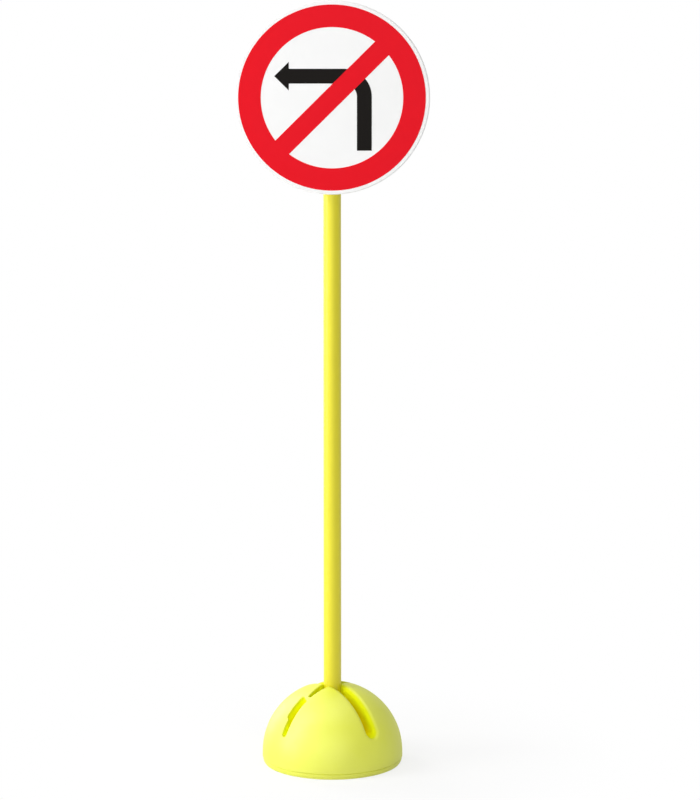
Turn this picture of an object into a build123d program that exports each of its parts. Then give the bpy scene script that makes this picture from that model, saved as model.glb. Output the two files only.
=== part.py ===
from build123d import *
import math
import os

# A free-standing no-left-turn sign for road-safety lessons: a round panel clipped to a yellow stick, which
# stands in a weighted dome. Millimetres, +Z up, floor at z = 0, the pole's axis on Z, the face towards -Y.

# Pole: the common 25 mm stick, one metre long over its end plugs
POLE_D = 25.0
POLE_WALL = 2.0
POLE_LENGTH = 1000.0
POLE_EDGE = 0.4
END_PLUG_FLANGE = 2.5
END_PLUG_SPIGOT = 16.0
END_PLUG_WALL = 2.0
END_PLUG_EDGE = 1.2
END_PLUG_CLEAR = 0.05

# Base plate: a foot ring, a raised floor and a ring that locates the dome
FOOT_H = 5.0
PLATE_T = 3.0
FOOT_W = 9.0
FOOT_TAPER = 3.3
FOOT_BULGE = 0.8
SEAM_CHAMFER = 0.8
LOCATOR_H = 5.0
LOCATOR_W = 3.0
LOCATOR_CLEAR = 0.2

# Dome: half a sphere on a short skirt, seen as a shell from below
DOME_R = 100.0
DOME_WALL = 3.0
SKIRT_H = 7.0
BASE_TURN = -50.5

# Pole socket in the dome
SOCKET_CLEAR = 0.25
SOCKET_WALL = 2.5
SOCKET_FLOOR_T = 4.0

# Hoop slot: one U-shaped groove right across the dome
HOOP_SLOT_W = 14.0
HOOP_SLOT_DEPTH = 62.0
HOOP_LIP_R = 6.5

# Lath slots: an inner pocket through the middle whose ends taper on one side, a slanted bridge, then an outer
# pocket that narrows to a tail on the same side
LATH_SLOT_W = 9.0
LATH_SLOT_DEPTH = 63.0
LATH_POCKET_W = 14.0
LATH_POCKET_DEPTH = 53.0
LATH_TIP_W = 5.0
LATH_TAIL = 16.0
LATH_OUTER_LENGTH = 27.0
LATH_END_SLANT = 5.5
LATH_SHOULDER = 2.5
LATH_BRIDGE = 4.5
LATH_CORNER_R = 2.0
LATH_SWEEP_R = 9.0
LATH_LIP_R = 1.5
SLOT_WALL = 2.5

# Screws that hold the plate to bosses in the dome
SCREW_COUNT = 4
SCREW_INSET = 22.0
SCREW_CORE_D = 3.3
SCREW_GRIP = 14.0
SCREW_HEAD_D = 7.6
SCREW_HEAD_H = 2.4
SCREW_CLEAR = 0.1
BOSS_D = 10.0

# Ballast: the grains of the sand, settled
SAND_DEPTH = 24.0
SAND_CLEAR = 0.3

# Filler plug: a coarse screw plug with a flat seal, in a neck of the plate, drawn to its thread's root
FILLER_INSET = 27.0
FILLER_D = 25.8
FILLER_THREAD_H = 0.8
FILLER_CLEAR = 0.1
FILLER_NECK_WALL = 3.0
FILLER_NECK_H = 10.0
FILLER_FLANGE_W = 4.1
FILLER_FLANGE_T = 2.2
FILLER_WALL = 2.4
FILLER_GRIP_T = 3.5
FILLER_GRIP_H = 8.0
SEAL_T = 1.3
SEAL_CLEAR = 0.3

# Sign panel and its films
SIGN_D = 272.0
SIGN_T = 3.0
SIGN_EDGE = 1.0
SIGN_DROP = 52.0
SIGN_BORDER = 5.8
FACE_SHEET_INSET = 1.6
FACE_SHEET_T = 0.25
SIGN_FILM_T = 0.15
RING_W = 31.4
SLASH_W = 27.0
SLASH_ANGLE = 45.0

# Arrow: its centre lines, foot and tip, measured in from the ring's inner edge
ARROW_W = 20.6
ARROW_UP_GAP = 53.9
ARROW_FOOT_GAP = 24.9
ARROW_ACROSS_GAP = 68.4
ARROW_TIP_GAP = 18.8
ARROW_BEND_R = 28.6
ARROW_HEAD_L = 20.2
ARROW_HEAD_H = 40.0

# Snap clips between the panel and the pole
CLIP_CLEAR = 0.08
CLIP_WALL = 3.0
CLIP_H = 22.0
CLIP_MOUTH = 104.0
CLIP_LIP_D = 5.0
CLIP_FLANGE_L = 64.0
CLIP_FLANGE_T = 3.0
CLIP_CORNER_R = 5.0
CLIP_ROOT_R = 4.0
CLIP_BELOW_TOP = 16.0
CLIP_ABOVE_RIM = 46.0

# Flush rivets and their washers
RIVET_PITCH = 48.0
RIVET_D = 4.0
RIVET_CLEAR = 0.1
RIVET_HEAD_D = 7.8
RIVET_HEAD_H = 1.9
RIVET_TAIL_D = 7.0
RIVET_TAIL_H = 1.8
WASHER_D = 9.0
WASHER_T = 1.0

# Heights of the base, from the floor up
SEAM_Z = FOOT_H + PLATE_T
SPHERE_Z = SEAM_Z + SKIRT_H
SOCKET_FLOOR_Z = SEAM_Z + SOCKET_FLOOR_T
DOME_TOP_Z = SPHERE_Z + DOME_R
CUT_REACH = 1.2 * DOME_R
CUT_TOP_Z = SPHERE_Z + CUT_REACH
DOME_INNER_R = DOME_R - DOME_WALL
SOCKET_R = POLE_D / 2 + SOCKET_CLEAR
SCREW_CIRCLE_R = DOME_INNER_R - SCREW_INSET
FILLER_AT_R = SCREW_CIRCLE_R - FILLER_INSET

# The slots' floors, and the lath slots' stations from the tail's mouth inwards
HOOP_SLOT_FLOOR_Z = DOME_TOP_Z - HOOP_SLOT_DEPTH
LATH_SLOT_FLOOR_Z = DOME_TOP_Z - LATH_SLOT_DEPTH
LATH_POCKET_FLOOR_Z = DOME_TOP_Z - LATH_POCKET_DEPTH
LATH_MOUTH = math.sqrt(DOME_R**2 - (LATH_SLOT_FLOOR_Z - SPHERE_Z) ** 2)
LATH_OUTER_END = LATH_MOUTH - LATH_TAIL
LATH_OUTER_START = LATH_OUTER_END - LATH_OUTER_LENGTH
LATH_INNER_END = LATH_OUTER_START - LATH_BRIDGE
LATH_TAIL_ASIDE = (LATH_POCKET_W - LATH_SLOT_W) / 2

# Layers of the sign, from the pole forward along -Y
CLIP_R = POLE_D / 2 + CLIP_CLEAR
PANEL_BACK_Y = -(CLIP_R + CLIP_WALL)
PANEL_FRONT_Y = PANEL_BACK_Y - SIGN_T
SHEET_FRONT_Y = PANEL_FRONT_Y - FACE_SHEET_T
FLANGE_BACK_Y = PANEL_BACK_Y + CLIP_FLANGE_T

# The sign's centre on the pole, and its clips and rings from that centre
SIGN_Z = SOCKET_FLOOR_Z + POLE_LENGTH - SIGN_DROP
CLIP_UPPER_Z = SIGN_DROP - CLIP_BELOW_TOP
CLIP_LOWER_Z = CLIP_ABOVE_RIM - SIGN_D / 2
RING_OUTER_R = SIGN_D / 2 - SIGN_BORDER
RING_INNER_R = RING_OUTER_R - RING_W

# The filler's levels below and through the plate
SEAL_BOTTOM_Z = FOOT_H - SEAL_T
FILLER_BOTTOM_Z = SEAL_BOTTOM_Z - FILLER_FLANGE_T
FILLER_R = FILLER_D / 2
FILLER_ROOT_R = FILLER_R - FILLER_THREAD_H
FILLER_FLANGE_R = FILLER_R + FILLER_FLANGE_W
FILLER_NECK_R = FILLER_R + FILLER_CLEAR + FILLER_NECK_WALL


def disc(radius, low, high):
    """An upright cylinder about Z between two heights."""
    return Pos(0, 0, low) * extrude(Circle(radius), high - low)


def tube(outer, inner, low, high):
    """An upright ring about Z between two heights."""
    return Pos(0, 0, low) * extrude(Circle(outer) - Circle(inner), high - low)


def turned(points):
    """A closed (r, z) outline of straight lines, revolved about Z."""
    outline = make_face(Polyline(*points, close=True))
    return revolve(Plane.XZ * outline, Axis.Z)


def bullet(radius, low):
    """A cylinder from a height up to the sphere's centre, closed by half a sphere."""
    top = SPHERE_Z + radius
    side = Polyline((0, top), (0, low), (radius, low), (radius, SPHERE_Z))
    crown = RadiusArc((radius, SPHERE_Z), (0, top), -radius)
    solid = revolve(Plane.XZ * make_face(side + crown), Axis.Z)
    return Rot(0, 0, 45) * solid


def groove(width, floor_z, start, end):
    """A U-shaped groove along X with a full-round floor, open at the top."""
    axis_z = floor_z + width / 2
    walls = Pos(0, (axis_z + CUT_TOP_Z) / 2) * Rectangle(width, CUT_TOP_Z - axis_z)
    section = walls + Pos(0, axis_z) * Circle(width / 2)
    return Pos(start, 0, 0) * extrude(Plane.YZ * section, end - start)


def base_turned(shape):
    """The base as it stands in the photograph, with the hoop slot to the front right."""
    return Rot(0, 0, BASE_TURN) * shape


def screw_places():
    """The screws stand in the middle of the four petals between the slots."""
    return PolarLocations(SCREW_CIRCLE_R, SCREW_COUNT, 180 / SCREW_COUNT, rotate=False)


def filler_place():
    """The filler is under the rear petal, on the line of a screw."""
    return Rot(0, 0, 135) * Pos(FILLER_AT_R, 0, 0)


def hoop_cut(wall=0.0):
    """The hoop slot, or with a wall, the space that the slot and its wall take."""
    return groove(HOOP_SLOT_W + 2 * wall, HOOP_SLOT_FLOOR_Z - wall, -CUT_REACH, CUT_REACH)


def lath_tails(wall=0.0):
    """The two tails, each along one side of its pocket, or the space that they and their walls take."""
    width = LATH_SLOT_W + 2 * wall
    start = LATH_OUTER_START + LATH_END_SLANT / 2 + LATH_CORNER_R - wall
    tail = groove(width, LATH_SLOT_FLOOR_Z - wall, start, CUT_REACH)
    tail = Pos(0, LATH_TAIL_ASIDE, 0) * tail
    return tail + Rot(0, 0, 180) * tail


def lath_inner():
    """The inner pocket from above, drawn along X. Each end tapers on one side."""
    half = LATH_POCKET_W / 2
    tip = half - LATH_TIP_W
    outline = [
        (LATH_INNER_END, half),
        (LATH_INNER_END, tip),
        (SOCKET_R, -half),
        (-LATH_INNER_END, -half),
        (-LATH_INNER_END, -tip),
        (-SOCKET_R, half),
    ]
    inner = make_face(Polyline(*outline, close=True))
    columns = inner.vertices().group_by(Axis.X)
    inner = fillet(columns[1] + columns[2], LATH_SWEEP_R)
    columns = inner.vertices().group_by(Axis.X)
    return fillet(columns[0] + columns[-1], LATH_CORNER_R)


def lath_outer():
    """One outer pocket from above, drawn along X, with a rounded shoulder down to its tail."""
    half = LATH_POCKET_W / 2
    tail_side = half - LATH_SLOT_W
    outline = [
        (LATH_OUTER_START + LATH_END_SLANT / 2, half),
        (CUT_REACH, half),
        (CUT_REACH, tail_side),
        (LATH_OUTER_END + LATH_SHOULDER / 2, tail_side),
        (LATH_OUTER_END - LATH_SHOULDER / 2, -half),
        (LATH_OUTER_START - LATH_END_SLANT / 2, -half),
    ]
    outer = make_face(Polyline(*outline, close=True))
    corners = outer.vertices().filter_by(lambda v: v.X < CUT_REACH - 1)
    return fillet(corners, LATH_CORNER_R)


def lath_cut(wall=0.0):
    """The two lath slots, turned to lie along Y, or with a wall, the space that they and their walls take."""
    inner = lath_inner()
    outer = lath_outer()
    if wall:
        inner = offset(inner, wall)
        outer = offset(outer, wall)
    plan = inner + outer + Rot(0, 0, 180) * outer
    low = LATH_POCKET_FLOOR_Z - wall
    pockets = Pos(0, 0, low) * extrude(plan, CUT_TOP_Z - low)
    return Rot(0, 0, 90) * (pockets + lath_tails(wall))


def lipped(cut, lip_r):
    """The dome's outer form with one kind of slot cut in it, and that slot's lips rounded."""
    form = bullet(DOME_R, SEAM_Z) - cut
    sphere = form.faces().filter_by(GeomType.SPHERE)
    lips = sphere.edges().filter_by(lambda e: e.bounding_box().min.Z > SPHERE_Z + 1)
    return fillet(lips, lip_r)


def make_base_dome():
    """The moulded shell: slots with their own walls, the pole's socket and the screw bosses."""
    form = lipped(hoop_cut(), HOOP_LIP_R) & lipped(lath_cut(), LATH_LIP_R)
    rim = form.faces().sort_by(Axis.Z)[0].outer_wire().edges()
    form = chamfer(rim, SEAM_CHAMFER)
    cavity = bullet(DOME_INNER_R, SEAM_Z) - hoop_cut(SLOT_WALL) - lath_cut(SLOT_WALL)
    cavity -= disc(SOCKET_R + SOCKET_WALL, SEAM_Z, CUT_TOP_Z)
    pilot = disc(SCREW_CORE_D / 2 + SCREW_CLEAR, SEAM_Z, SEAM_Z + SCREW_GRIP + SCREW_CLEAR)
    for place in screw_places():
        cavity -= place * disc(BOSS_D / 2, SEAM_Z, CUT_TOP_Z)
    shell = form - cavity - disc(SOCKET_R, SOCKET_FLOOR_Z, CUT_TOP_Z)
    for place in screw_places():
        shell -= place * pilot
    return base_turned(shell)


def make_base_plate():
    """The closing plate, with its foot ring, locating ring, screw holes and the filler's neck."""
    rim_r = DOME_R - SEAM_CHAMFER
    foot_r = DOME_R - FOOT_TAPER
    edge = Polyline((0, FOOT_H), (foot_r - FOOT_W, FOOT_H), (foot_r - FOOT_W, 0), (foot_r, 0))
    flank = SagittaArc((foot_r, 0), (rim_r, SEAM_Z - SEAM_CHAMFER), -FOOT_BULGE)
    top = Polyline((rim_r, SEAM_Z - SEAM_CHAMFER), (rim_r - SEAM_CHAMFER, SEAM_Z), (0, SEAM_Z), (0, FOOT_H))
    plate = revolve(Plane.XZ * make_face(edge + flank + top), Axis.Z)
    locator_r = DOME_INNER_R - LOCATOR_CLEAR
    plate += tube(locator_r, locator_r - LOCATOR_W, SEAM_Z, SEAM_Z + LOCATOR_H)
    neck = filler_place() * disc(FILLER_NECK_R, SEAM_Z, SEAM_Z + FILLER_NECK_H)
    bore = filler_place() * disc(FILLER_R + FILLER_CLEAR, 0, SEAM_Z + FILLER_NECK_H)
    plate = plate + neck - bore
    hole = disc(SCREW_CORE_D / 2 + SCREW_CLEAR, 0, SEAM_Z)
    for place in screw_places():
        plate -= place * hole
    return base_turned(plate)


def make_plate_screws():
    """Pan-head screws, up through the plate into the bosses."""
    core = disc(SCREW_CORE_D / 2, FOOT_H, SEAM_Z + SCREW_GRIP)
    head = disc(SCREW_HEAD_D / 2, FOOT_H - SCREW_HEAD_H, FOOT_H)
    head = fillet(head.edges().group_by(Axis.Z)[0], SCREW_HEAD_H / 2)
    return base_turned(Compound([place * (core + head) for place in screw_places()]))


def make_sand_ballast():
    """The settled sand round the socket, the bosses and the filler's neck."""
    low = SEAM_Z
    high = SEAM_Z + SAND_DEPTH
    inside_locator = DOME_INNER_R - LOCATOR_CLEAR - LOCATOR_W - SAND_CLEAR
    sand = disc(inside_locator, low, high)
    sphere_room = bullet(DOME_INNER_R - SAND_CLEAR, SEAM_Z + LOCATOR_H + SAND_CLEAR)
    sand += sphere_room & disc(DOME_R, low, high)
    sand -= disc(SOCKET_R + SOCKET_WALL + SAND_CLEAR, low, high)
    for place in screw_places():
        sand -= place * disc(BOSS_D / 2 + SAND_CLEAR, low, high)
    neck_top = SEAM_Z + FILLER_NECK_H + SAND_CLEAR
    sand -= filler_place() * disc(FILLER_NECK_R + SAND_CLEAR, low, neck_top)
    return base_turned(sand)


def make_filler_plug():
    """A hollow screw plug with a flange and a finger bar across its cup."""
    cup_r = FILLER_ROOT_R - FILLER_WALL
    top = SEAM_Z + FILLER_NECK_H
    plug = disc(FILLER_FLANGE_R, FILLER_BOTTOM_Z, SEAL_BOTTOM_Z)
    plug = fillet(plug.edges().group_by(Axis.Z)[0], FILLER_FLANGE_T / 3)
    plug += disc(FILLER_ROOT_R, SEAL_BOTTOM_Z, top)
    plug -= disc(cup_r, FILLER_BOTTOM_Z, top - FILLER_WALL)
    bar = extrude(Rectangle(2 * cup_r + FILLER_WALL, FILLER_GRIP_T), FILLER_GRIP_H)
    plug += Pos(0, 0, FILLER_BOTTOM_Z) * bar & disc(cup_r + FILLER_WALL / 2, FILLER_BOTTOM_Z, top)
    return base_turned(filler_place() * plug)


def make_plug_seal():
    """The flat seal between the plug's flange and the plate."""
    ring = tube(FILLER_FLANGE_R, FILLER_R + SEAL_CLEAR, SEAL_BOTTOM_Z, FOOT_H)
    return base_turned(filler_place() * ring)


def make_end_plug():
    """A push-in plug with its flange on z = 0 and its spigot below, hollow from below."""
    spigot_r = POLE_D / 2 - POLE_WALL - END_PLUG_CLEAR
    flange = disc(POLE_D / 2, 0, END_PLUG_FLANGE)
    flange = fillet(flange.edges().group_by(Axis.Z)[-1], END_PLUG_EDGE)
    return flange + tube(spigot_r, spigot_r - END_PLUG_WALL, -END_PLUG_SPIGOT, 0)


def make_pole_tube():
    """The stick's plain tube between its end plugs."""
    low = SOCKET_FLOOR_Z + END_PLUG_FLANGE
    high = SOCKET_FLOOR_Z + POLE_LENGTH - END_PLUG_FLANGE
    body = tube(POLE_D / 2, POLE_D / 2 - POLE_WALL, low, high)
    levels = body.edges().filter_by(GeomType.CIRCLE).group_by(Axis.Z)
    rims = [level.sort_by(SortBy.LENGTH)[-1] for level in (levels[0], levels[-1])]
    return fillet(rims, POLE_EDGE)


def make_pole_top_plug():
    """The plug in the stick's upper end."""
    return Pos(0, 0, SOCKET_FLOOR_Z + POLE_LENGTH - END_PLUG_FLANGE) * make_end_plug()


def make_pole_foot_plug():
    """The same plug, turned over, in the stick's foot."""
    return Pos(0, 0, SOCKET_FLOOR_Z + END_PLUG_FLANGE) * Rot(180, 0, 0) * make_end_plug()


def sign_layer(sketch, back_y, thickness):
    """A flat layer of the sign: a sketch in X and Z from the panel's centre, grown towards the front."""
    front = Plane(origin=(0, back_y, SIGN_Z), x_dir=(1, 0, 0), z_dir=(0, -1, 0))
    return front * extrude(sketch, thickness)


def rivet_places():
    """The four rivets: two in each clip's flange."""
    return [
        (side * RIVET_PITCH / 2, SIGN_Z + height)
        for height in (CLIP_UPPER_Z, CLIP_LOWER_Z)
        for side in (-1, 1)
    ]


def on_rivet(shape, x, z):
    """A shape drawn about Z from z = 0, set along +Y from the panel's front at a rivet."""
    return Pos(x, PANEL_FRONT_Y, z) * Rot(-90, 0, 0) * shape


def rivet_shape(clear=0.0):
    """A countersunk rivet without its tail, or the hole for it."""
    head_r = RIVET_HEAD_D / 2 + clear
    shank_r = RIVET_D / 2 + clear
    washer_top = PANEL_BACK_Y + CLIP_FLANGE_T + WASHER_T - PANEL_FRONT_Y
    return turned([(0, 0), (head_r, 0), (shank_r, RIVET_HEAD_H), (shank_r, washer_top), (0, washer_top)])


def rivet_cuts():
    """The holes of all four rivets."""
    return [on_rivet(rivet_shape(RIVET_CLEAR), x, z) for x, z in rivet_places()]


def make_sign_panel():
    """The round plastic panel, with rounded rims and countersunk rivet holes."""
    panel = sign_layer(Circle(SIGN_D / 2), PANEL_BACK_Y, SIGN_T)
    panel = fillet(panel.edges().filter_by(GeomType.CIRCLE), SIGN_EDGE)
    for cut in rivet_cuts():
        panel -= cut
    return panel


def make_face_sheet():
    """The white film over the whole front."""
    return sign_layer(Circle(SIGN_D / 2 - FACE_SHEET_INSET), PANEL_FRONT_Y, FACE_SHEET_T)


def slash_band():
    """The slash as a band through the centre, long enough to end inside the ring."""
    return Rot(0, 0, SLASH_ANGLE) * Rectangle(RING_OUTER_R + RING_INNER_R, SLASH_W)


def make_red_ring():
    """The red film: a ring and its slash in one piece."""
    ring = Circle(RING_OUTER_R) - Circle(RING_INNER_R)
    return sign_layer(ring + slash_band(), SHEET_FRONT_Y, SIGN_FILM_T)


def make_black_arrow():
    """The black film: up, round to the left and into a plain head, parted by the slash."""
    up_x = RING_INNER_R - ARROW_UP_GAP
    across_z = RING_INNER_R - ARROW_ACROSS_GAP
    foot_z = ARROW_FOOT_GAP - RING_INNER_R
    tip_x = ARROW_TIP_GAP - RING_INNER_R
    head_x = tip_x + ARROW_HEAD_L
    bend_x = up_x - ARROW_BEND_R
    bend_z = across_z - ARROW_BEND_R
    upright = Line((up_x, foot_z), (up_x, bend_z))
    bend = RadiusArc((up_x, bend_z), (bend_x, across_z), -ARROW_BEND_R)
    across = Line((bend_x, across_z), (head_x, across_z))
    shaft = trace(upright + bend + across, ARROW_W)
    barb_high = (head_x, across_z + ARROW_HEAD_H / 2)
    barb_low = (head_x, across_z - ARROW_HEAD_H / 2)
    head = make_face(Polyline(barb_high, (tip_x, across_z), barb_low, close=True))
    return sign_layer(shaft + head - slash_band(), SHEET_FRONT_Y, SIGN_FILM_T)


def make_clip(height):
    """A snap clip: a flange on the panel, and two jaws that hold the pole."""
    outer_r = CLIP_R + CLIP_WALL
    half_mouth = math.radians(CLIP_MOUTH / 2)
    flange_y = (PANEL_BACK_Y + FLANGE_BACK_Y) / 2
    profile = Circle(outer_r) + Pos(0, flange_y) * Rectangle(CLIP_FLANGE_L, CLIP_FLANGE_T)
    reach = 2 * outer_r
    mouth_x = reach * math.tan(half_mouth)
    mouth = make_face(Polyline((0, 0), (mouth_x, reach), (-mouth_x, reach), close=True))
    profile -= mouth
    lip_r = (outer_r + CLIP_R + CLIP_WALL / 2) / 2
    for side in (-1, 1):
        lip = Pos(side * lip_r * math.sin(half_mouth), lip_r * math.cos(half_mouth))
        profile += lip * Circle(CLIP_LIP_D / 2)
    profile -= Circle(CLIP_R)
    roots = profile.vertices().filter_by(
        lambda v: abs(v.Y - FLANGE_BACK_Y) < 0.01 and abs(v.X) < CLIP_FLANGE_L / 2 - 1
    )
    profile = fillet(roots, CLIP_ROOT_R)
    clip = Pos(0, 0, SIGN_Z + height - CLIP_H / 2) * extrude(profile, CLIP_H)
    outline = sign_layer(RectangleRounded(CLIP_FLANGE_L, CLIP_H, CLIP_CORNER_R), reach, 2 * reach)
    clip &= Pos(0, 0, height) * outline
    for cut in rivet_cuts():
        clip -= cut
    return clip


def make_clip_rivets():
    """Four rivets, flush in front, their tails closed on the washers behind."""
    washer_top = PANEL_BACK_Y + CLIP_FLANGE_T + WASHER_T - PANEL_FRONT_Y
    tail = disc(RIVET_TAIL_D / 2, washer_top, washer_top + RIVET_TAIL_H)
    tail = fillet(tail.edges().group_by(Axis.Z)[-1], 0.8 * RIVET_TAIL_H)
    rivet = rivet_shape() + tail
    return Compound([on_rivet(rivet, x, z) for x, z in rivet_places()])


def make_rivet_washers():
    """A washer under each tail."""
    low = FLANGE_BACK_Y - PANEL_FRONT_Y
    washer = tube(WASHER_D / 2, RIVET_D / 2 + RIVET_CLEAR, low, low + WASHER_T)
    return Compound([on_rivet(washer, x, z) for x, z in rivet_places()])


def make_upper_clip():
    """The clip near the pole's top."""
    return make_clip(CLIP_UPPER_Z)


def make_lower_clip():
    """The clip below the panel's middle."""
    return make_clip(CLIP_LOWER_Z)


NODES = {
    "base_dome": make_base_dome,
    "base_plate": make_base_plate,
    "plate_screws": make_plate_screws,
    "sand_ballast": make_sand_ballast,
    "filler_plug": make_filler_plug,
    "plug_seal": make_plug_seal,
    "pole_tube": make_pole_tube,
    "pole_foot_plug": make_pole_foot_plug,
    "pole_top_plug": make_pole_top_plug,
    "sign_panel": make_sign_panel,
    "face_sheet": make_face_sheet,
    "red_ring": make_red_ring,
    "black_arrow": make_black_arrow,
    "upper_clip": make_upper_clip,
    "lower_clip": make_lower_clip,
    "clip_rivets": make_clip_rivets,
    "rivet_washers": make_rivet_washers,
}

os.makedirs("parts", exist_ok=True)
for name, make in NODES.items():
    export_step(make(), f"parts/{name}.step")
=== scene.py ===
# %% [markdown]
# # A no-left-turn sign on a dome base
#
# The real object is a teaching sign for road-safety lessons. A round plastic panel is clipped to a
# yellow stick, and the stick stands in a sand-filled dome that is moulded in the same yellow. The
# forms are plain, so the finishes carry the picture: soft moulded plastic, drawn tube, smooth sign
# film and a little plated metal.
#
# The solids arrive as a fixed frame, in metres. This lesson never moves them. It gives them
# finishes, adds what is too fine for solids, such as threads and cross recesses, and sets up a
# plain white studio.

# %% Load the solids
import math

import bmesh
import bpy
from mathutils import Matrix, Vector


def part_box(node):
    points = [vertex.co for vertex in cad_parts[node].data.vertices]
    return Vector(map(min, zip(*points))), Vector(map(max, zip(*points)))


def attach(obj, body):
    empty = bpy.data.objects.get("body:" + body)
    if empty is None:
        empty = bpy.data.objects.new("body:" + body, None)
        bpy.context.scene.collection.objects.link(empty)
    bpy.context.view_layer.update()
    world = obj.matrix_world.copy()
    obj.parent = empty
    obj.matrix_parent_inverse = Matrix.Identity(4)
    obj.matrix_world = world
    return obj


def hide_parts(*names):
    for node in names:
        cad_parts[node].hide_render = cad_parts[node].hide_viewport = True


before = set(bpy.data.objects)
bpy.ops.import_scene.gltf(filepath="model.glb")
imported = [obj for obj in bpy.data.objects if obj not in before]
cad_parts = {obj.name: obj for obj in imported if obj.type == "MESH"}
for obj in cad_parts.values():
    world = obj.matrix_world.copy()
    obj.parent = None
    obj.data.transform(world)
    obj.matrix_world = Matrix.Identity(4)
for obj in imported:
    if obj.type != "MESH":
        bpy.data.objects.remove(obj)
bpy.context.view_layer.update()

# %% [markdown]
# ## Node trees as sums
#
# A finish is a small calculation: a noise, scaled, added to a base roughness, and so on. Placing
# nodes one by one hides that. Here a `Wire` stands for a socket, and Python's own operators add the
# Math nodes, so a formula in the script reads like the formula that it builds. The reflected forms,
# such as `__rsub__`, let a plain number come first, as in `1 - mask`.

# %% A socket that does sums
class Wire:
    """An output socket. Sums on it add Math nodes to its tree."""

    def __init__(self, graph, socket):
        self.graph = graph
        self.socket = socket

    def sum(self, operation, *values):
        return self.graph.node("ShaderNodeMath", {"operation": operation}, dict(enumerate(values)))

    def __add__(self, other):
        return self.sum("ADD", self, other)

    def __radd__(self, other):
        return self.sum("ADD", other, self)

    def __sub__(self, other):
        return self.sum("SUBTRACT", self, other)

    def __rsub__(self, other):
        return self.sum("SUBTRACT", other, self)

    def __mul__(self, other):
        return self.sum("MULTIPLY", self, other)

    def __rmul__(self, other):
        return self.sum("MULTIPLY", other, self)

    def __truediv__(self, other):
        return self.sum("DIVIDE", self, other)

    def __rtruediv__(self, other):
        return self.sum("DIVIDE", other, self)

    def __pow__(self, other):
        return self.sum("POWER", self, other)

    def rise(self, low, high):
        """0 below low, 1 above high, and a smooth step between."""
        ends = {"Value": self, "From Min": low, "From Max": high}
        return self.graph.node("ShaderNodeMapRange", {"interpolation_type": "SMOOTHSTEP"}, ends)

    def also(self, output):
        """Another output of the same node."""
        return Wire(self.graph, self.socket.node.outputs[output])


# %% [markdown]
# Every node comes from one method, `Graph.node`. It takes the node's type, then its settings, then
# a value, a `Wire` or a list of wires for each socket. Settings go first because some of them, such
# as a Mix node's data type, decide which sockets there are. Materials, the world and Geometry Nodes
# all use this one method.

# %% The one way to add nodes
class Graph:
    """A node tree."""

    def __init__(self, tree):
        self.tree = tree

    def node(self, kind, settings=None, sockets=None, output=0):
        made = self.tree.nodes.new(kind)
        for name, value in (settings or {}).items():
            setattr(made, name, value)
        for key, value in (sockets or {}).items():
            self.feed(made.inputs[key], value)
        return Wire(self, made.outputs[output]) if made.outputs else made

    def feed(self, socket, value):
        if isinstance(value, list):
            for wire in value:
                self.feed(socket, wire)
        elif isinstance(value, Wire):
            self.tree.links.new(value.socket, socket)
        else:
            socket.default_value = value


# %% [markdown]
# A `Finish` is a material with one Principled shader. What is the same all over the surface is set
# on the shader's own sockets. What changes from place to place is a wire, and it feeds only sockets
# that can be baked to a picture, such as colour, roughness and the normal. Patterns are laid out on
# Object coordinates, which are metres here, so a grain of half a millimetre is written as 0.0005.

# %% A finish
GRAIN_DEPTH = 0.0002
# A Mix node has a set of sockets for each data type. These are the ones for colours.
MIX_FIRST, MIX_SECOND, MIX_RESULT = 6, 7, 2


class Finish(Graph):
    """A material with one Principled shader."""

    def __init__(self, name, even):
        self.material = bpy.data.materials.new(name)
        self.material.use_nodes = True
        super().__init__(self.material.node_tree)
        self.shader = self.tree.nodes["Principled BSDF"]
        for socket, value in even.items():
            self.shader.inputs[socket].default_value = value
        self.spot = self.node("ShaderNodeTexCoord", output="Object")

    def vary(self, socket, wire):
        """Feeds a socket of the shader with something that changes over the surface."""
        self.feed(self.shader.inputs[socket], wire)

    def noise(self, size, stretch=(1, 1, 1), detail=2.0):
        """Noise from 0 to 1 in patches of about size metres, longer where stretch is under 1."""
        place = self.node("ShaderNodeMapping", None, {"Vector": self.spot, "Scale": stretch})
        sockets = {"Vector": place, "Scale": 1 / size, "Detail": detail}
        return self.node("ShaderNodeTexNoise", None, sockets)

    def height(self):
        """The height above the floor in metres."""
        return self.node("ShaderNodeSeparateXYZ", None, {"Vector": self.spot}, output="Z")

    def distance(self, point):
        """The distance from a point in metres."""
        sockets = {0: self.spot, 1: point}
        return self.node("ShaderNodeVectorMath", {"operation": "DISTANCE"}, sockets, output="Value")

    def mix(self, factor, first, second):
        """A colour between two, as the factor goes from 0 to 1."""
        sockets = {"Factor": factor, MIX_FIRST: first, MIX_SECOND: second}
        return self.node("ShaderNodeMix", {"data_type": "RGBA"}, sockets, output=MIX_RESULT)

    def grain(self, wire, strength, depth=GRAIN_DEPTH):
        """Bump from a height map, depth in metres."""
        sockets = {"Strength": strength, "Distance": depth, "Height": wire}
        self.vary("Normal", self.node("ShaderNodeBump", None, sockets))


# %% [markdown]
# Colours are written as they look on a screen, from 0 to 255, because that is how they are picked.
# Shaders take linear values, so `linear` turns one into the other. `dress` puts a finish on solids
# of the frame by their names.

# %% Two helpers for finishes
def linear(red, green, blue):
    """A colour given as 0 to 255 screen values, turned into the linear values that shaders take."""
    def channel(v):
        v /= 255
        return v / 12.92 if v <= 0.04045 else ((v + 0.055) / 1.055) ** 2.4
    return (channel(red), channel(green), channel(blue), 1.0)


def dress(finish, *nodes):
    """Puts a finish on solids of the frame."""
    for name in nodes:
        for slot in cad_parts[name].material_slots:
            slot.material = finish.material
    print("finish", finish.material.name, "on", ", ".join(nodes))


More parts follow.
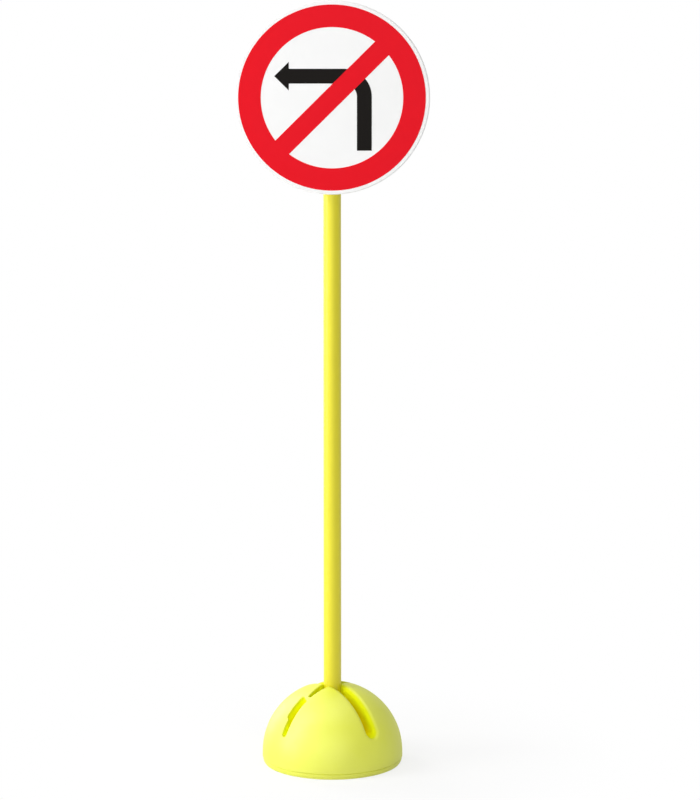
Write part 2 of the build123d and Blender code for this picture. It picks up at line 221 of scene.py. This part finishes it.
# %% [markdown]
# ## Moulded lemon yellow
#
# The dome and its plate are moulded in a soft, slightly milky plastic. Light lies on it as a broad,
# pale veil with no sharp highlight. Here the veil is a rough coat with a high index, and the yellow
# below it has no gloss of its own. One flat yellow would look like paint, so the colour drifts a
# little, the veil is thinner where hands have rubbed it, a fine bump from the mould breaks it up,
# and a little floor dust clings near the foot.
#
# In the slots the plastic looks lemon and further down amber, because light has passed from wall to
# wall and through the plastic on its way. That light is painted into the colour: the finish
# measures how far a point lies below the sphere, leaves the veil off inside the lips and paints a
# brighter lemon glow and then a deeper amber in two steps. Below the slots' floors there is only
# the foot, which stays as it is.

# %% The dome's plastic
DOME_RADIUS = (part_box("base_dome")[1].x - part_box("base_dome")[0].x) / 2
DOME_CENTRE = (0.0, 0.0, 0.015)
LIP_DEPTH = (0.0002, 0.003)
# Depths below the sphere where the painted slot light sets in: a brighter lemon glow, then amber.
PAINTED_GLOW_DEPTH = (0.0006, 0.007)
PAINTED_AMBER_DEPTH = (0.006, 0.024)
FOOT_TOP = (0.035, 0.055)
DUST_TOP = (0.006, 0.020)
DUST_COVER = 0.2
LEMON_DRIFT = 0.07
LEMON_ROUGHNESS = 0.46
RUB_PATCH = 0.022
RUB_EDGE = (0.48, 0.72)
RUB_EFFECT = 0.08
MOULD_GRAIN = 0.0006


def moulded_lemon():
    even = {"IOR": 1.5, "Specular IOR Level": 0.0, "Coat IOR": 2.06, "Coat Roughness": 0.52}
    finish = Finish("moulded_lemon", even)
    drift = finish.noise(LEMON_DRIFT)
    rubbed = finish.noise(RUB_PATCH, detail=4.0).rise(*RUB_EDGE)
    dust = 1 - finish.height().rise(*DUST_TOP)
    depth = DOME_RADIUS - finish.distance(DOME_CENTRE)
    above_foot = finish.height().rise(*FOOT_TOP)
    clean = finish.mix(drift, linear(219, 224, 30), linear(224, 230, 40))
    # Painted light: a brighter lemon glow in the slots, amber deeper down, for light bounced
    # inside.
    painted_slot_light = finish.mix(depth.rise(*PAINTED_AMBER_DEPTH), linear(246, 252, 20), linear(255, 236, 2))
    with_painted_slot_light = finish.mix(depth.rise(*PAINTED_GLOW_DEPTH) * above_foot, clean, painted_slot_light)
    finish.vary("Base Color", finish.mix(dust * DUST_COVER, with_painted_slot_light, linear(206, 205, 70)))
    finish.vary("Roughness", LEMON_ROUGHNESS + rubbed * RUB_EFFECT)
    veil = 1 - depth.rise(*LIP_DEPTH) * above_foot
    finish.vary("Coat Weight", veil * (1 - rubbed * RUB_EFFECT))
    finish.grain(finish.noise(MOULD_GRAIN, detail=3.0), strength=0.12)
    return finish


lemon = moulded_lemon()
dress(lemon, "base_dome", "base_plate", "filler_plug")

# %% [markdown]
# ## Drawn yellow
#
# The stick is an extruded tube. The die leaves hair-fine lines along it, so its noise is stretched
# a hundred times along Z, and it marks both the veil and the surface. The stick is glossier than
# the dome and a warmer yellow.

# %% The stick's plastic
STICK_DRIFT = 0.09
STICK_ROUGHNESS = 0.36
STICK_VEIL = 0.9
DIE_LINE = 0.0012
DIE_STRETCH = (1, 1, 0.01)
DIE_EFFECT = 0.08


def drawn_yellow():
    even = {"IOR": 1.5, "Specular IOR Level": 0.0, "Coat IOR": 1.65, "Coat Roughness": 0.42}
    finish = Finish("drawn_yellow", even)
    drift = finish.noise(STICK_DRIFT)
    drawn = finish.noise(DIE_LINE, stretch=DIE_STRETCH)
    finish.vary("Base Color", finish.mix(drift, linear(225, 213, 4), linear(230, 220, 10)))
    finish.vary("Roughness", STICK_ROUGHNESS + drawn * DIE_EFFECT)
    finish.vary("Coat Weight", STICK_VEIL + drawn * (1 - STICK_VEIL))
    finish.grain(drawn, strength=0.1)
    return finish


dress(drawn_yellow(), "pole_tube", "pole_foot_plug", "pole_top_plug")

# %% [markdown]
# ## The sign's films
#
# The face is a white film with the red ring and the black arrow laid on it. Film is smooth, with a
# faint orange peel from its glue. A strong highlight would grey the black, so the specular level is
# low.

# %% White, red and black film
PEEL_PATCH = 0.004
PEEL_EFFECT = 0.06
FADE_PATCH = 0.06


def sign_film(name, colour, faded, roughness):
    finish = Finish(name, {"IOR": 1.45, "Specular IOR Level": 0.08})
    peel = finish.noise(PEEL_PATCH, detail=1.0)
    finish.vary("Base Color", finish.mix(finish.noise(FADE_PATCH), colour, faded))
    finish.vary("Roughness", roughness + peel * PEEL_EFFECT)
    finish.grain(peel, strength=0.05)
    return finish


white_film = sign_film("film_white", linear(250, 250, 250), linear(247, 247, 246), roughness=0.35)
red_film = sign_film("film_red", linear(233, 19, 34), linear(230, 21, 37), roughness=0.35)
black_film = sign_film("film_black", linear(18, 15, 13), linear(22, 19, 17), roughness=0.4)
dress(white_film, "face_sheet")
dress(red_film, "red_ring")
dress(black_film, "black_arrow")

# %% [markdown]
# ## White panel and clips
#
# Behind the film, the panel is a satin plastic sheet, and the clips are moulded. Both are white,
# the clips a little deeper and warmer, with the fine grain of their moulds.

# %% The panel and the clips
WHITE_DRIFT = 0.05
WHITE_ROUGHNESS = 0.42
WHITE_GRAIN = 0.0007
SATIN_PATCH = 0.01
SATIN_EFFECT = 0.1


def white_plastic(name, colour, paler):
    finish = Finish(name, {"IOR": 1.5, "Specular IOR Level": 0.25})
    finish.vary("Base Color", finish.mix(finish.noise(WHITE_DRIFT), colour, paler))
    finish.vary("Roughness", WHITE_ROUGHNESS + finish.noise(SATIN_PATCH) * SATIN_EFFECT)
    finish.grain(finish.noise(WHITE_GRAIN), strength=0.08)
    return finish


panel_white = white_plastic("panel_white", linear(238, 238, 236), linear(244, 244, 242))
clip_white = white_plastic("clip_white", linear(224, 224, 219), linear(230, 230, 226))
dress(panel_white, "sign_panel")
dress(clip_white, "upper_clip", "lower_clip")

# %% [markdown]
# ## Metal, rubber and sand
#
# Zinc plating is bright but slightly cloudy, and rivet aluminium is duller. The filler's seal is
# black rubber with a trace of bloom. The sand is hidden inside the dome, and it still gets its
# grains.

# %% Metal of the fasteners
CLOUD_PATCH = 0.002
SPECKLE = 0.0008
SPECKLE_EFFECT = 0.15


def fastener_metal(name, colour, roughness):
    finish = Finish(name, {"Metallic": 1.0})
    finish.vary("Base Color", finish.mix(finish.noise(CLOUD_PATCH), colour, linear(214, 213, 208)))
    finish.vary("Roughness", roughness + finish.noise(SPECKLE) * SPECKLE_EFFECT)
    return finish


zinc = fastener_metal("zinc", linear(176, 178, 178), roughness=0.3)
aluminium = fastener_metal("rivet_aluminium", linear(196, 197, 198), roughness=0.35)
print("finishes for fasteners:", zinc.material.name, "and", aluminium.material.name)

# %% Rubber
BLOOM_PATCH = 0.003
RUBBER_ROUGHNESS = 0.7
RUBBER_SPECK = 0.001
RUBBER_EFFECT = 0.15


def seal_rubber():
    finish = Finish("rubber_black", {"Specular IOR Level": 0.3})
    bloom = finish.noise(BLOOM_PATCH)
    finish.vary("Base Color", finish.mix(bloom, linear(38, 38, 38), linear(54, 53, 52)))
    finish.vary("Roughness", RUBBER_ROUGHNESS + finish.noise(RUBBER_SPECK) * RUBBER_EFFECT)
    return finish


dress(seal_rubber(), "plug_seal")

# %% Sand
SAND_GRAIN = 0.0008
SAND_GRAIN_DEPTH = 0.0005
SAND_ROUGHNESS = 0.85
SAND_PATCH = 0.002
SAND_EFFECT = 0.1


def dry_sand():
    finish = Finish("dry_sand", {"Specular IOR Level": 0.2})
    grains = finish.noise(SAND_GRAIN)
    finish.vary("Base Color", finish.mix(grains, linear(168, 142, 98), linear(214, 192, 150)))
    finish.vary("Roughness", SAND_ROUGHNESS + finish.noise(SAND_PATCH) * SAND_EFFECT)
    finish.grain(grains, strength=0.6, depth=SAND_GRAIN_DEPTH)
    return finish


dress(dry_sand(), "sand_ballast")

# %% [markdown]
# ## Fasteners by Geometry Nodes
#
# Four screws, four rivets and four washers are each one shape set down four times. Modelling one by
# hand and copying it would work, but a Geometry Nodes tree keeps the sizes as named inputs, so a
# longer screw is one number. A `Shape` is such a tree: it takes points, sets its shape on each,
# makes the copies real and gives them their finish. The result is then turned into a plain mesh,
# because an export drops instances.

# %% A shape that is set down on points
SMOOTH_BELOW = math.radians(35)


class Shape(Graph):
    """A Geometry Nodes tree with named sizes that sets one shape on every point."""

    def __init__(self, name, sizes):
        super().__init__(bpy.data.node_groups.new(name, "GeometryNodeTree"))
        self.sizes = sizes
        kinds = {"Places": "Geometry", "Finish": "Material"}
        kinds.update({label: "Int" if label == "Seed" else "Float" for label in sizes})
        for label, kind in kinds.items():
            self.tree.interface.new_socket(label, in_out="INPUT", socket_type="NodeSocket" + kind)
        self.tree.interface.new_socket("Solid", in_out="OUTPUT", socket_type="NodeSocketGeometry")

    def given(self, label):
        """One of the tree's named inputs."""
        return self.node("NodeGroupInput", output=label)

    def vector(self, x=0.0, y=0.0, z=0.0):
        return self.node("ShaderNodeCombineXYZ", None, {"X": x, "Y": y, "Z": z})

    def lifted(self, mesh, height):
        """A mesh moved up, or down by a negative height."""
        sockets = {"Geometry": mesh, "Translation": self.vector(z=height)}
        return self.node("GeometryNodeTransform", None, sockets)

    def set_down(self, mesh, turn):
        """Shades a mesh smooth but for its sharp edges, and sets it on every place."""
        bend = self.node("GeometryNodeInputMeshEdgeAngle", output="Unsigned Angle")
        soft = bend.sum("LESS_THAN", bend, SMOOTH_BELOW)
        faces = {"Geometry": mesh, "Shade Smooth": True}
        smooth = self.node("GeometryNodeSetShadeSmooth", {"domain": "FACE"}, faces)
        edges = {"Geometry": smooth, "Shade Smooth": soft}
        smooth = self.node("GeometryNodeSetShadeSmooth", {"domain": "EDGE"}, edges)
        places = {"Points": self.given("Places"), "Instance": smooth, "Rotation": turn}
        copies = self.node("GeometryNodeInstanceOnPoints", None, places)
        real = self.node("GeometryNodeRealizeInstances", None, {"Geometry": copies})
        finish = {"Geometry": real, "Material": self.given("Finish")}
        finished = self.node("GeometryNodeSetMaterial", None, finish)
        self.node("NodeGroupOutput", None, {"Solid": finished})

    def build(self, name, places, finish):
        """Runs the tree on the places and keeps what it makes as a plain mesh."""
        points = bpy.data.meshes.new(name)
        points.from_pydata(places, [], [])
        piece = bpy.data.objects.new(name, points)
        bpy.context.scene.collection.objects.link(piece)
        maker = piece.modifiers.new(name, "NODES")
        maker.node_group = self.tree
        for socket in self.tree.interface.items_tree:
            if socket.name in self.sizes:
                maker[socket.identifier] = self.sizes[socket.name]
            elif socket.name == "Finish":
                maker[socket.identifier] = finish.material
        depsgraph = bpy.context.evaluated_depsgraph_get()
        made = bpy.data.meshes.new_from_object(piece.evaluated_get(depsgraph))
        piece.modifiers.remove(maker)
        piece.data = made
        bpy.data.meshes.remove(points)
        print(name, "has", len(made.polygons), "faces on", len(places), "places,",
              "open edges:", open_edges(made))
        return piece


def open_edges(mesh):
    """How many edges of a mesh don't lie between two faces. A closed solid has none."""
    work = bmesh.new()
    work.from_mesh(mesh)
    count = sum(not edge.is_manifold for edge in work.edges)
    work.free()
    return count


# %% [markdown]
# Round pieces are put together from a few forms. A rod is a cylinder that stands on the origin. A
# crown rounds the rim of a rod's cap: each ring of the cap moves by the fourth power of its radius,
# which leaves the middle flat. A thread is a spiral swept with a narrow profile, whose scale drops
# at both ends so that the ridge runs out. Booleans unite or cut the forms, so that each fastener is
# one closed solid.

# %% Forms for round pieces
LEVEL_SLACK = 1e-6
ROUND_SIDES = 40
CAP_RINGS = 10
THREAD_STEPS = 40
THREAD_SINK = 0.97
RUN_OUT = 0.08
RUN_OUT_SCALE = 0.05
OVERLAP = 0.2
# A Random Value node has a set of sockets for each data type. These are the ones for floats.
RANDOM_LOW, RANDOM_HIGH, RANDOM_VALUE = 2, 3, 1


def rod(shape, radius, length):
    sockets = {
        "Vertices": ROUND_SIDES,
        "Fill Segments": CAP_RINGS,
        "Radius": radius,
        "Depth": length,
    }
    return shape.lifted(shape.node("GeometryNodeMeshCylinder", None, sockets), length * 0.5)


def crowned(shape, mesh, level, radius, crown):
    """Moves the points at a level along Z, by the crown at the rim and by nothing in the middle."""
    place = shape.node("GeometryNodeInputPosition")
    x = shape.node("ShaderNodeSeparateXYZ", None, {"Vector": place})
    y = x.also("Y")
    share = (x * x + y * y) / (radius * radius)
    at_level = x.sum("COMPARE", x.also("Z"), level, LEVEL_SLACK)
    offset = shape.vector(z=share ** 2 * crown)
    sockets = {"Geometry": mesh, "Selection": at_level, "Offset": offset}
    return shape.node("GeometryNodeSetPosition", None, sockets)


def thread(shape, root, crest, pitch, turns, foot, edge):
    """A right-handed ridge about Z, from just inside a root radius to its crest."""
    inside = root * THREAD_SINK
    winding = {
        "Resolution": THREAD_STEPS,
        "Rotations": turns,
        "Start Radius": inside,
        "End Radius": inside,
        "Height": pitch * turns,
        "Reverse": True,
    }
    path = shape.node("GeometryNodeCurveSpiral", None, winding)
    path = shape.node("GeometryNodeSetCurveNormal", {"mode": "Z_UP"}, {"Curve": path})
    corners = {
        "Point 1": shape.vector(y=foot * -0.5),
        "Point 2": shape.vector(x=crest - inside, y=edge * -0.5),
        "Point 3": shape.vector(x=crest - inside, y=edge * 0.5),
        "Point 4": shape.vector(y=foot * 0.5),
    }
    profile = shape.node("GeometryNodeCurvePrimitiveQuadrilateral", {"mode": "POINTS"}, corners)
    along = shape.node("GeometryNodeSplineParameter")
    full = along.rise(0.0, RUN_OUT) * (1 - along.rise(1 - RUN_OUT, 1.0))
    sweep = {
        "Curve": path,
        "Profile Curve": profile,
        "Fill Caps": True,
        "Scale": RUN_OUT_SCALE + full * (1 - RUN_OUT_SCALE),
    }
    return shape.node("GeometryNodeCurveToMesh", None, sweep)


def united(shape, *solids):
    settings = {"operation": "UNION", "solver": "EXACT"}
    return shape.node("GeometryNodeMeshBoolean", settings, {"Mesh 2": list(solids)})


def without(shape, solid, *cuts):
    settings = {"operation": "DIFFERENCE", "solver": "EXACT"}
    return shape.node("GeometryNodeMeshBoolean", settings, {"Mesh 1": solid, "Mesh 2": list(cuts)})


def any_turn(shape):
    """A random angle for each place, from the tree's seed."""
    sockets = {RANDOM_LOW: 0.0, RANDOM_HIGH: math.tau, "Seed": shape.given("Seed")}
    settings = {"data_type": "FLOAT"}
    return shape.node("FunctionNodeRandomValue", settings, sockets, output=RANDOM_VALUE)


# %% [markdown]
# The frame already holds plain screws, rivets and washers at their real places, so nothing is
# placed by eye. A node's mesh is loose triangles. Merged in a working copy and grouped by what
# hangs together, it gives one box for each fastener. The boxes are sorted, so that every run sets
# the same copy on the same place.

# %% Where the fasteners are
SORT_DIGITS = 5


def solid_boxes(node):
    """The corner boxes of a node's separate solids, in a fixed order."""
    work = bmesh.new()
    work.from_mesh(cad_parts[node].data)
    bmesh.ops.remove_doubles(work, verts=work.verts, dist=LEVEL_SLACK)
    left = set(work.verts)
    boxes = []
    while left:
        group = [left.pop()]
        for vert in group:
            touching = {edge.other_vert(vert) for edge in vert.link_edges} & left
            left -= touching
            group.extend(touching)
        axes = list(zip(*(vert.co for vert in group)))
        boxes.append((Vector(map(min, axes)), Vector(map(max, axes))))
    work.free()
    return sorted(boxes, key=lambda box: tuple(round(v, SORT_DIGITS) for v in box[0]))


screw_boxes = solid_boxes("plate_screws")
rivet_boxes = solid_boxes("clip_rivets")
washer_boxes = solid_boxes("rivet_washers")
print("found", len(screw_boxes), "screws,", len(rivet_boxes), "rivets and",
      len(washer_boxes), "washers")

# %% [markdown]
# ### Screws under the plate
#
# The plate is held by four pan-head screws that point up, so their heads face the floor. The head
# is a crowned rod with a cross recess cut by two bars, and the shank is a core with its thread. The
# screws have stopped at random turns.

# %% Sizes of a screw
low, high = screw_boxes[0]
SCREW_HEAD_HEIGHT = 0.0024
SCREW_SIZES = {
    "Head radius": (high.x - low.x) / 2,
    "Head height": SCREW_HEAD_HEIGHT,
    "Head crown": 0.0013,
    "Core radius": 0.0012,
    "Crest radius": 0.00165,
    "Length": high.z - low.z - SCREW_HEAD_HEIGHT,
    "Plain length": 0.0015,
    "Pitch": 0.0014,
    "Turns": 10.0,
    "Thread foot": 0.0009,
    "Thread edge": 0.0001,
    "Recess length": 0.0044,
    "Recess width": 0.0010,
    "Recess depth": 0.0014,
    "Seed": 11,
}
print("screw head", round(SCREW_SIZES["Head radius"] * 2000, 2), "mm across")

# %% Four screws
def screw_shape():
    shape = Shape("plate_screw", SCREW_SIZES)
    size = shape.given
    face = size("Head height") * -1
    head = shape.lifted(rod(shape, size("Head radius"), size("Head height")), face)
    head = crowned(shape, head, face, size("Head radius"), size("Head crown"))
    bars = []
    for across, along in (("Recess length", "Recess width"), ("Recess width", "Recess length")):
        bar = shape.vector(size(across), size(along), size("Recess depth") * 2)
        bars.append(shape.lifted(shape.node("GeometryNodeMeshCube", None, {"Size": bar}), face))
    sunk = face * OVERLAP
    core = shape.lifted(rod(shape, size("Core radius"), size("Length") - sunk), sunk)
    ridge = thread(shape, size("Core radius"), size("Crest radius"), size("Pitch"), size("Turns"),
                   size("Thread foot"), size("Thread edge"))
    ridge = shape.lifted(ridge, size("Plain length"))
    solid = united(shape, without(shape, head, *bars), core, ridge)
    shape.set_down(solid, shape.vector(z=any_turn(shape)))
    return shape


screw_places = [
    ((lo.x + hi.x) / 2, (lo.y + hi.y) / 2, lo.z + SCREW_HEAD_HEIGHT) for lo, hi in screw_boxes
]
screws = screw_shape().build("plate_screw_set", screw_places, zinc)
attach(screws, "base")
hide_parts("plate_screws")

# %% [markdown]
# ### Rivets and washers behind the sign
#
# Flush rivets come through the panel from the front, under the film, and their tails are closed on
# washers behind the clips. A rivet is drawn along Z and turned to point backwards, along +Y. Its
# tail is a crowned rod with a dimple where the pulling pin broke off.

# %% Sizes of a rivet and a washer
low, high = rivet_boxes[0]
RIVET_TAIL_HEIGHT = 0.0018
RIVET_SIZES = {
    "Head radius": (high.x - low.x) / 2,
    "Head depth": 0.0019,
    "Shank radius": 0.0020,
    "Grip": high.y - low.y - RIVET_TAIL_HEIGHT,
    "Tail radius": 0.0035,
    "Tail height": RIVET_TAIL_HEIGHT,
    "Tail crown": 0.0014,
    "Dimple radius": 0.0009,
    "Dimple depth": 0.0006,
    "Seed": 5,
}
low, high = washer_boxes[0]
WASHER_SIZES = {
    "Outer radius": (high.x - low.x) / 2,
    "Hole radius": 0.0021,
    "Thickness": high.y - low.y,
    "Edge": 0.0002,
}
EDGE_STEPS = 3
BACKWARDS = -math.pi / 2
print("rivet grip", round(RIVET_SIZES["Grip"] * 1000, 2), "mm")

# %% Four rivets
def rivet_shape():
    shape = Shape("clip_rivet", RIVET_SIZES)
    size = shape.given
    cone = {
        "Vertices": ROUND_SIDES,
        "Radius Top": size("Shank radius"),
        "Radius Bottom": size("Head radius"),
        "Depth": size("Head depth"),
    }
    head = shape.node("GeometryNodeMeshCone", None, cone)
    start = size("Head depth") * 0.5
    length = size("Grip") + size("Tail height") * OVERLAP - start
    shank = shape.lifted(rod(shape, size("Shank radius"), length), start)
    tail = rod(shape, size("Tail radius"), size("Tail height"))
    tail = crowned(shape, tail, size("Tail height"), size("Tail radius"), size("Tail crown") * -1)
    dimple = rod(shape, size("Dimple radius"), size("Tail height"))
    dimple = shape.lifted(dimple, size("Tail height") - size("Dimple depth"))
    tail = shape.lifted(without(shape, tail, dimple), size("Grip"))
    shape.set_down(united(shape, head, shank, tail), shape.vector(x=BACKWARDS, y=any_turn(shape)))
    return shape


def behind_sign(boxes):
    """The point on the axis at the front of each box."""
    return [((lo.x + hi.x) / 2, lo.y, (lo.z + hi.z) / 2) for lo, hi in boxes]


rivets = rivet_shape().build("clip_rivet_set", behind_sign(rivet_boxes), aluminium)
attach(rivets, "sign")
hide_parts("clip_rivets")

# %% Four washers
def washer_shape():
    shape = Shape("rivet_washer", WASHER_SIZES)
    size = shape.given
    middle = (size("Outer radius") + size("Hole radius")) * 0.5
    circle = {"Resolution": ROUND_SIDES, "Radius": middle}
    path = shape.node("GeometryNodeCurvePrimitiveCircle", None, circle)
    band = {"Width": size("Outer radius") - size("Hole radius"), "Height": size("Thickness")}
    profile = shape.node("GeometryNodeCurvePrimitiveQuadrilateral", None, band)
    rounding = {"Curve": profile, "Radius": size("Edge"), "Count": EDGE_STEPS}
    profile = shape.node("GeometryNodeFilletCurve", {"mode": "POLY"}, rounding)
    ring = shape.node("GeometryNodeCurveToMesh", None, {"Curve": path, "Profile Curve": profile})
    shape.set_down(shape.lifted(ring, size("Thickness") * 0.5), shape.vector(x=BACKWARDS))
    return shape


washers = washer_shape().build("rivet_washer_set", behind_sign(washer_boxes), zinc)
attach(washers, "sign")
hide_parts("rivet_washers")

# %% [markdown]
# ### The filler plug's thread
#
# The plug under the base is turned out by its finger bar to fill the dome with sand. Its thread is
# coarse, 3.5 mm a turn, and the plug drops by as much as it turns, so the ridge has the same pitch.
# It sits on the plug's shank and turns with it.

# %% Thread of the filler plug
seal_low, seal_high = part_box("plug_seal")
PLUG_THREAD_FOOT_Z = 0.0065
PLUG_THREAD_SIZES = {
    "Root radius": 0.0121,
    "Crest radius": 0.0129,
    "Pitch": 0.0035,
    "Turns": 3.0,
    "Foot": 0.0022,
    "Edge": 0.0007,
}


def plug_thread_shape():
    shape = Shape("plug_thread", PLUG_THREAD_SIZES)
    size = shape.given
    ridge = thread(shape, size("Root radius"), size("Crest radius"), size("Pitch"), size("Turns"),
                   size("Foot"), size("Edge"))
    shape.set_down(ridge, shape.vector())
    return shape


plug_axis = [((seal_low.x + seal_high.x) / 2, (seal_low.y + seal_high.y) / 2, PLUG_THREAD_FOOT_Z)]
plug_thread = plug_thread_shape().build("plug_thread", plug_axis, lemon)
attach(plug_thread, "filler")

# %% [markdown]
# ## The studio
#
# The object stands on white. The camera looks down a little, so a large floor fills the view. A
# floor that is only lit would come out grey or uneven, and more light would wash out the object. So
# rays that are seen, from the camera or by way of a reflection, meet a floor that mostly glows
# white. Near the object a share of the lit floor stays in the mix, and that share holds the shadow.
# Other rays meet plain white paint and bounce light back up.

# %% Rays that are seen
def seen_ray(graph):
    """1 for rays from the camera, or by way of a mirror or glass."""
    camera = graph.node("ShaderNodeLightPath", output="Is Camera Ray")
    mirrored = camera.sum("MAXIMUM", camera, camera.also("Is Glossy Ray"))
    return camera.sum("MAXIMUM", mirrored, camera.also("Is Transmission Ray"))


# %% Floor
FLOOR_SPAN = 60.0
SHADOW_SHARE = 0.22
SHADOW_NEAR = 0.12
SHADOW_FAR = 0.45


def make_floor():
    mesh = bpy.data.meshes.new("floor")
    s = FLOOR_SPAN / 2
    mesh.from_pydata([(-s, -s, 0), (s, -s, 0), (s, s, 0), (-s, s, 0)], [], [(0, 1, 2, 3)])
    floor = bpy.data.objects.new("floor", mesh)
    bpy.context.scene.collection.objects.link(floor)
    paint = Finish("floor_white", {"Base Color": linear(240, 240, 240), "Roughness": 0.9})
    shadow = (1 - paint.distance((0, 0, 0)).rise(SHADOW_NEAR, SHADOW_FAR)) * SHADOW_SHARE
    glow = paint.node("ShaderNodeEmission")
    lit = Wire(paint, paint.shader.outputs[0])
    white = seen_ray(paint) * (1 - shadow)
    both = paint.node("ShaderNodeMixShader", None, {0: white, 1: lit, 2: glow})
    paint.feed(paint.tree.nodes["Material Output"].inputs["Surface"], both)
    mesh.materials.append(paint.material)
    print("floor", FLOOR_SPAN, "m wide, lit share near the object", SHADOW_SHARE)


make_floor()

# %% [markdown]
# The world works the same way. Seen rays meet plain white, and the light that the world sheds on
# the object is dimmer, so that the lamps can shape the forms.

# %% World
WORLD_LIGHT = 0.26


def make_world():
    world = bpy.data.worlds.new("studio")
    bpy.context.scene.world = world
    world.use_nodes = True
    sky = Graph(world.node_tree)
    background = sky.tree.nodes["Background"]
    background.inputs["Color"].default_value = (1, 1, 1, 1)
    sky.feed(background.inputs["Strength"], WORLD_LIGHT + seen_ray(sky) * (1 - WORLD_LIGHT))
    print("world light", WORLD_LIGHT)


make_world()

# %% [markdown]
# Three tall softboxes stand along the left, from behind to near the camera, because in the
# photograph the left flanks of the dome and the stick are palest and the right ones deepest. Two
# high ones reach into the slots, and a wide one by the camera keeps the sign's face even. All stay
# low enough for white plastic to keep its tone, on the face of the sign and behind it.

# %% Lamps
MID_STICK = (0, 0, 0.4)
LOW_STICK = (0, 0, 0.3)


def softbox(name, place, aim, width, height, watts):
    lamp = bpy.data.lights.new(name, "AREA")
    lamp.shape = "RECTANGLE"
    lamp.size = width
    lamp.size_y = height
    lamp.energy = watts
    lit = bpy.data.objects.new(name, lamp)
    lit.location = place
    lit.rotation_euler = (Vector(aim) - Vector(place)).to_track_quat("-Z", "Y").to_euler()
    bpy.context.scene.collection.objects.link(lit)
    print(name, watts, "W")


softbox("left_window", (-2.1, -0.5, 0.9), MID_STICK, width=0.5, height=2.4, watts=38)
softbox("rear_window", (-1.4, 1.6, 0.9), MID_STICK, width=0.6, height=2.4, watts=26)
softbox("near_window", (-1.6, -3.2, 1.0), MID_STICK, width=0.6, height=2.4, watts=18)
softbox("high_window", (-1.7, -0.4, 2.4), MID_STICK, width=1.0, height=1.0, watts=16)
softbox("front_fill", (0.4, -4.2, 1.5), LOW_STICK, width=2.4, height=2.0, watts=30)
softbox("top_fill", (0, -0.3, 3.2), LOW_STICK, width=2.0, height=2.0, watts=24)

# %% [markdown]
# ## The camera
#
# The photograph was taken from some way off: the stick's sides are parallel, and the dome's foot is
# a shallow ellipse. Its height against its width gives the downward tilt, about 12 degrees.

# %% Camera
CAMERA_DISTANCE = 6.5
CAMERA_HEIGHT = 1.913
CAMERA_ASIDE = 0.025
CAMERA_TILT = 12.03
CAMERA_LENS = 212.2
FILM_HEIGHT = 36.0

view = bpy.data.cameras.new("camera")
view.sensor_fit = "VERTICAL"
view.sensor_height = FILM_HEIGHT
view.lens = CAMERA_LENS
camera = bpy.data.objects.new("camera", view)
camera.location = (CAMERA_ASIDE, -CAMERA_DISTANCE, CAMERA_HEIGHT)
camera.rotation_euler = (math.radians(90 - CAMERA_TILT), 0, 0)
bpy.context.scene.collection.objects.link(camera)
bpy.context.scene.camera = camera
bpy.context.scene.view_settings.view_transform = "Standard"
print("camera", CAMERA_DISTANCE, "m away, tilted", CAMERA_TILT, "degrees down")
